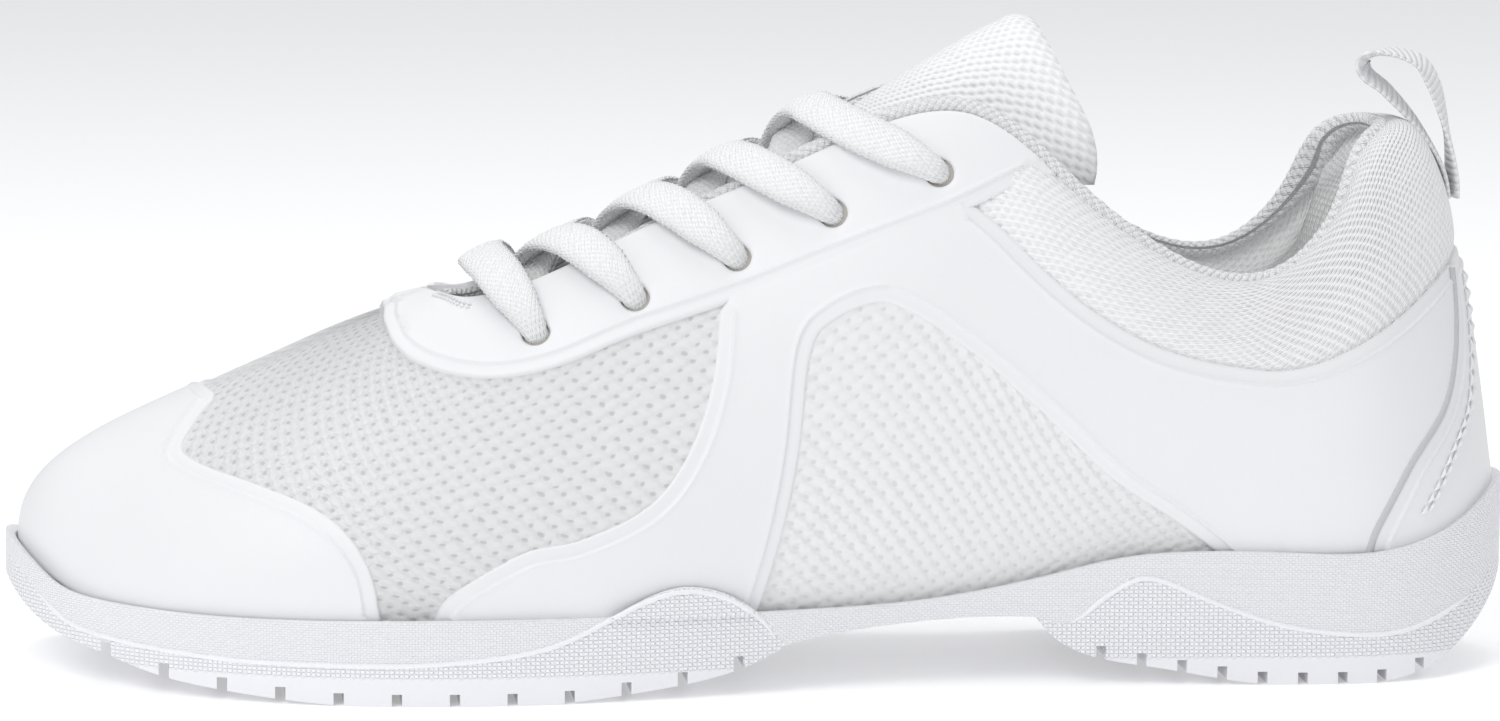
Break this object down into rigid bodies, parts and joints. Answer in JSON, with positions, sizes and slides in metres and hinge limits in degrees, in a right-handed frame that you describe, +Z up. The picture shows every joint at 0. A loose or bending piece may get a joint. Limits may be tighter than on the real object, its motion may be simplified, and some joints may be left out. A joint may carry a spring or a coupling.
{
  "type": "cheer shoe",
  "caption": "Low white cheer shoe for the left foot with a knit upper, smooth overlays, split rubber treads, flat laces and a heel pull loop.",
  "frame": {"origin": "centre of the shoe's outline at the level of the floor that it stands on", "axes": "-X towards the toe, +X towards the heel, -Y towards the outer side of the foot, +Z up"},
  "size_m": [0.2739, 0.0917, 0.1192],
  "materials": {
    "outsole_rubber": "matt moulded rubber with fine grain bands",
    "midsole_foam": "matt moulded foam rubber",
    "strobel_fabric": "non-woven lasting board",
    "insole_foam": "soft closed-cell foam",
    "lining_knit": "smooth lining knit",
    "vamp_knit": "open engineered knit with small pores",
    "quarter_knit": "dense ribbed knit",
    "air_mesh": "air mesh with fine cells",
    "padding_foam": "open-cell padding foam",
    "stiffener": "thermoplastic stiffener sheet",
    "overlay": "smooth matt synthetic leather",
    "binding_knit": "looped knit tape",
    "tongue_jersey": "fine ribbed jersey",
    "webbing": "grosgrain webbing",
    "lace_weave": "chunky flat woven lace",
    "clear_plastic": "lace tip film"
  },
  "bodies": {
    "shoe": {"outsole_forefoot": "outsole_rubber", "outsole_heel": "outsole_rubber", "midsole": "midsole_foam", "strobel_board": "strobel_fabric", "insole_foam": "insole_foam", "insole_cover": "lining_knit", "vamp_mesh": "vamp_knit", "quarter_mesh_outer": "quarter_knit", "quarter_mesh_inner": "quarter_knit", "vamp_lining": "lining_knit", "quarter_lining_outer": "air_mesh", "quarter_lining_inner": "air_mesh", "collar_foam": "padding_foam", "heel_counter": "stiffener", "toe_puff": "stiffener", "eyelet_tape_outer": "stiffener", "eyelet_tape_inner": "stiffener", "toe_cap": "overlay", "eyestay": "overlay", "saddle_outer": "overlay", "saddle_inner": "overlay", "backstay": "overlay", "topline_binding": "binding_knit", "tongue_cover": "tongue_jersey", "tongue_foam": "padding_foam", "tongue_lining": "lining_knit", "lace": "lace_weave", "aglet_outer": "clear_plastic", "aglet_inner": "clear_plastic"},
    "tongue_tip": {"tongue_tip_cover": "tongue_jersey", "tongue_tip_foam": "padding_foam", "tongue_tip_lining": "lining_knit"},
    "pull_loop": {"pull_loop": "webbing"}
  },
  "joints": [
    {"name": "tongue_fold", "type": "hinge", "parent": "shoe", "child": "tongue_tip", "pos_m": [0.0205, 0, 0.1037], "axis": [0, -1, 0], "range_deg": [0, 40], "stiffness_Nm_per_rad": 0.05},
    {"name": "loop_swing", "type": "hinge", "parent": "shoe", "child": "pull_loop", "pos_m": [0.1266, 0, 0.0848], "axis": [0, 1, 0], "range_deg": [0, 70], "stiffness_Nm_per_rad": 0.02}
  ]
}
